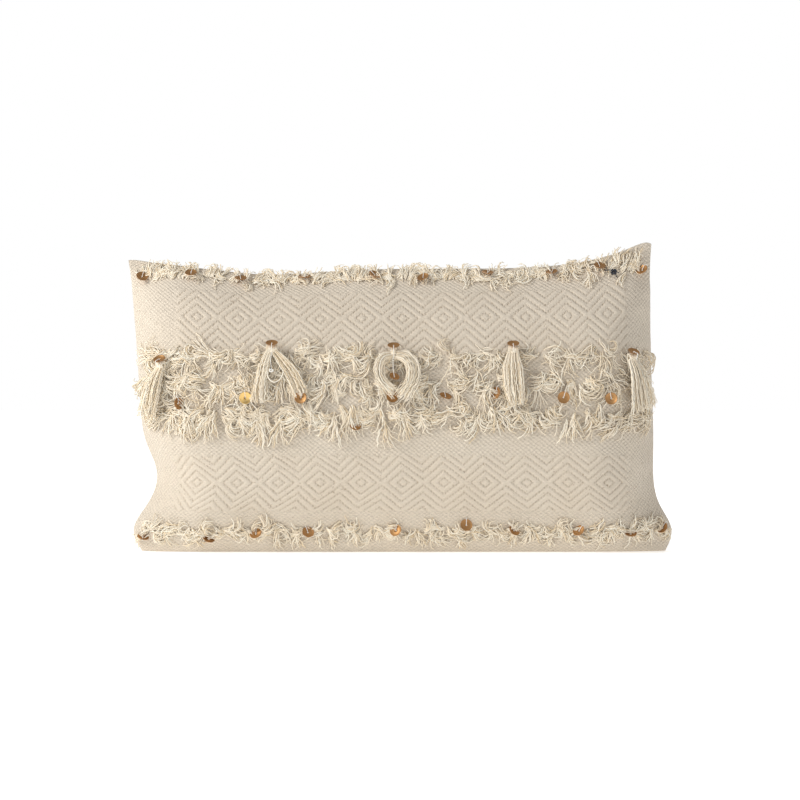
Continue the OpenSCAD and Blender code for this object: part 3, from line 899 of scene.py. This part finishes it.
def tassels():
    disc, disc_faces = sequin_mesh()
    for name, head, turn, sway, lift in TASSELS:
        axes = turned(turn, sway, lift)
        head = np.array(head)
        strands = []
        for hank in HANKS[name]:
            strands += hank_paths(*hank)
        # each yarn folds over the sewn loop: it comes up behind, over and down the front
        folded = []
        for p in strands:
            x = p[0, 0] * 0.9
            back = rng.uniform(2.0, 3.0)
            over = [
                (x * 0.9, back * 0.7, -6.5), (x, back, -2.5), (x, back * 0.8, 1.0),
                (x, 0, rng.uniform(2.2, 3.0)), (x, -back * 0.8, 1.0), (x, -back, -1.5),
            ]
            folded.append(np.concatenate([curve_through(over, 9), p]))
        paths = np.array(folded)
        body = f"{name}_tassel"
        world = paths @ axes + head
        yarn_piece(f"tassel_{name}_yarns", world, TASSEL_YARN_R, body, f"tassel_{name}_hank")

        # thread wound round the neck
        turns = np.linspace(0, 1, 90)
        a = 2 * math.pi * 4 * turns
        wound = np.stack([3.0 * np.cos(a), 2.3 * np.sin(a), -4.2 + 1.5 * turns], -1)
        p, f = tubes((wound @ axes + head)[None], 0.34, 6)
        obj = add_mesh(f"tassel_{name}_binding", p, f, [YARNS[0]], body=body)
        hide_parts(f"tassel_{name}_tie")

        # sequin on the head, facing up and out
        tip = math.radians(38)
        z_ax = np.array([0, -math.sin(tip), math.cos(tip)])
        y_ax = np.array([0, math.cos(tip), math.sin(tip)])
        p = placed(disc, z_ax * 4.3, np.array([1.0, 0, 0]), y_ax, z_ax) @ axes + head
        obj = add_mesh(f"tassel_{name}_cupped_sequin", p, disc_faces, [COPPER], body=body)
        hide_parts(f"tassel_{name}_sequin")
        line = [
            z_ax * 3.4, z_ax * 5.2, z_ax * 5.6 - y_ax * 3, z_ax * 5.9 - y_ax * 5.8,
            (0.2, -5.0, -3.5),
        ]
        p, f = tubes((curve_through(line, 24) @ axes + head)[None], 0.36, 6)
        obj = add_mesh(f"tassel_{name}_sequin_thread", p, f, [THREAD], body=body)

        if name == "left":
            # a loose yarn caught between the two hanks, with a knot of white thread
            sag = [(-4, -5, -19), (-3, -6, -28), (2, -6.5, -33), (8, -6, -30), (11, -5, -22)]
            hanging = curve_through(sag, 24)
            points, faces = tubes((hanging @ axes + head)[None], 0.5, 6)
            loose = add_mesh("tassel_left_loose_yarn", points, faces, [YARNS[2]], body=body)
            a = np.linspace(0, 6 * math.pi, 60)
            ball = np.stack([
                1.7 * np.cos(a),
                -5.5 + 0.6 * np.sin(2 * a),
                -22 + 1.1 * np.sin(a + 0.6 * np.sin(a / 3)),
            ], -1)
            held_by = curve_through([(0.3, -2.8, -4), (-0.8, -5.0, -12), (0.2, -5.6, -21.5)], 24)
            points, faces = join([
                tubes((ball @ axes + head)[None], 0.45, 6),
                tubes((held_by @ axes + head)[None], 0.34, 6),
            ])
            knot = add_mesh("tassel_left_knot", points, faces, [THREAD], body=body)
        if name == "centre":
            # one more sequin hangs inside the ring of yarn
            n = unit(np.array([0.3, -0.75, 0.6]))
            side = unit(np.cross([0.0, 0, 1.0], n))
            at = np.array([0.5, -3.0, -25.0])
            p = placed(disc * 0.85, at, side, np.cross(n, side), n) @ axes + head
            inner = add_mesh("tassel_centre_inner_sequin", p, disc_faces, [COPPER], body=body)
            drop = [(0, -2.8, -4), (-0.6, -4.4, -14), (0.5, -3.6, -24.6), (0.5, -2.0, -25.4)]
            held_by = curve_through(drop, 24)
            points, faces = tubes((held_by @ axes + head)[None], 0.34, 6)
            thread = add_mesh("tassel_centre_inner_thread", points, faces, [THREAD], body=body)

        # the sewn loop that the head hangs on
        t = math.radians(turn)
        across = np.array([math.cos(t), math.sin(t), 0])
        inward = np.array([-math.sin(t), math.cos(t), 0])
        half = 2.9
        line = [
            head - across * half + inward * 8, head - across * half + inward * 3,
            head - across * (half - 1), head, head + across * (half - 1),
            head + across * half + inward * 3, head + across * half + inward * 8,
        ]
        p, f = tubes(curve_through(line, 30)[None], 0.45, 6)
        obj = add_mesh(f"tassel_{name}_sewn_loop", p, f, [THREAD])
        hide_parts(f"tassel_{name}_stitch")


tassels()


# ---------------------------------------------------------------- zip
def zip_place(p):
    """From the zip's own frame (X along it, Y out of the back, Z up the slope) to the pillow's."""
    a = math.radians(-ZIP_TILT)
    r = np.array([[1, 0, 0], [0, math.cos(a), -math.sin(a)], [0, math.sin(a), math.cos(a)]])
    return np.asarray(p, float) @ r.T + np.array([0, ZIP_Y, ZIP_Z])


def zip_trim():
    loops = int(COIL_L / COIL_PITCH)
    for name, side in (("upper", 1), ("lower", -1)):
        k = np.linspace(0, 1, 9)
        loop = np.stack(
            [
                COIL_PITCH * (0.25 + 0.12 * np.sin(2 * math.pi * k)),
                -1.25 + 0.85 * np.cos(2 * math.pi * k),
                side * (TAPE_GAP / 2 + COIL_W / 2 - (COIL_W / 2 + 0.05) * np.sin(2 * math.pi * k) - 0.05),
            ],
            -1,
        )
        loop[:, 0] += COIL_PITCH * k * 0.5
        x = -COIL_L / 2 + (np.arange(loops) + (0.5 if side < 0 else 0)) * COIL_PITCH
        x = x[x < COIL_L / 2 - COIL_PITCH]
        paths = loop[None] + np.stack([x, 0 * x, 0 * x], -1)[:, None]
        p, f = tubes(zip_place(paths), 0.42, 6)
        obj = add_mesh(f"zip_coil_{name}_loops", p, f, [COIL])
        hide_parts(f"zip_coil_{name}")
    stitches = []
    for side in (-1, 1):
        x = np.arange(-ZIP_L / 2 - 2, ZIP_L / 2 + 2, STITCH_STEP)
        s = s_at(x, ZIP_Z + side * STITCH_OUT)
        t = t_at(ZIP_Z + side * STITCH_OUT * math.cos(math.radians(ZIP_TILT)))
        at = cloth_at(s, np.full_like(s, t), 1)
        n = normal_at(s, np.full_like(s, t), 1)
        f = np.linspace(-STITCH_L / 2, STITCH_L / 2, 5)
        rise = 0.55 - 0.35 * (f / (STITCH_L / 2)) ** 2
        line = at[:, None] + np.array([1.0, 0, 0]) * f[None, :, None] + n[:, None] * rise[None, :, None]
        stitches.append(tubes(line, 0.26, 4))
    p, f = join(stitches)
    obj = add_mesh("zip_topstitching", p, f, [THREAD])


zip_trim()
for part, finish in (
    ("zip_tape_upper", TAPE), ("zip_tape_lower", TAPE), ("zip_bottom_stop", NICKEL),
    ("zip_top_stop_upper", NICKEL), ("zip_top_stop_lower", NICKEL),
    ("zip_slider", NICKEL), ("zip_pull", NICKEL),
):
    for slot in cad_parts[part].material_slots:
        slot.material = finish


# ---------------------------------------------------------------- stage
def stage():
    floor_m, tree, shader = new_material("pale_floor", (0.92, 0.92, 0.91), 0.8)
    shader.inputs["Emission Color"].default_value = (1, 1, 1, 1)
    # the floor glows more far from the lamps, so that it stays white
    where = node(tree, "ShaderNodeTexCoord").outputs["Object"]
    away = node(tree, "ShaderNodeVectorMath", {0: where}, operation="LENGTH").outputs["Value"]
    glow = node(
        tree, "ShaderNodeMapRange",
        {"Value": away, "From Min": 0.9, "From Max": 2.4, "To Min": 0.47, "To Max": 0.85},
    ).outputs[0]
    tree.links.new(glow, shader.inputs["Emission Strength"])
    mesh = bpy.data.meshes.new("floor")
    r = 30
    mesh.from_pydata([(-r, -r, 0), (r, -r, 0), (r, r, 0), (-r, r, 0)], [], [(0, 1, 2, 3)])
    mesh.materials.append(floor_m)
    floor = bpy.data.objects.new("floor", mesh)
    floor.location.z = -0.0004
    bpy.context.collection.objects.link(floor)

    world = bpy.data.worlds.new("studio")
    world.use_nodes = True
    tree = world.node_tree
    background = tree.nodes["Background"]
    seen = node(tree, "ShaderNodeLightPath").outputs["Is Camera Ray"]
    level = node(tree, "ShaderNodeMapRange", {"Value": seen, "To Min": 0.38, "To Max": 1.0}).outputs[0]
    tree.links.new(level, background.inputs["Strength"])
    background.inputs["Color"].default_value = (1, 1, 1, 1)
    bpy.context.scene.world = world

    def area(name, at, size, power, colour=(1, 1, 1)):
        data = bpy.data.lights.new(name, "AREA")
        data.shape, data.size, data.energy, data.color = "SQUARE", size, power, colour
        lamp = bpy.data.objects.new(name, data)
        lamp.location = at
        aim = Vector((0, 0, 0.14)) - Vector(at)
        lamp.rotation_euler = aim.to_track_quat("-Z", "Y").to_euler()
        bpy.context.collection.objects.link(lamp)

    area("key", (-1.9, -0.95, 1.35), 0.8, 38, (1.0, 0.985, 0.96))
    area("fill", (1.3, -1.8, 0.7), 1.2, 2)
    area("back", (0.6, 1.7, 1.1), 1.2, 12)

    lo, hi = cad_box
    mid = (lo + hi) / 2
    camera = bpy.data.cameras.new("camera")
    far, frame_width, below_mid = 2.4, 0.740, 0.0037
    camera.sensor_width = 36
    camera.lens = 36 * far / frame_width
    camera.clip_start, camera.clip_end = 0.05, 100
    eye = bpy.data.objects.new("camera", camera)
    eye.location = (mid.x, -far, mid.z - below_mid)
    eye.rotation_euler = (math.pi / 2, 0, 0)
    bpy.context.collection.objects.link(eye)
    bpy.context.scene.camera = eye
    bpy.context.scene.view_settings.view_transform = "Standard"


stage()
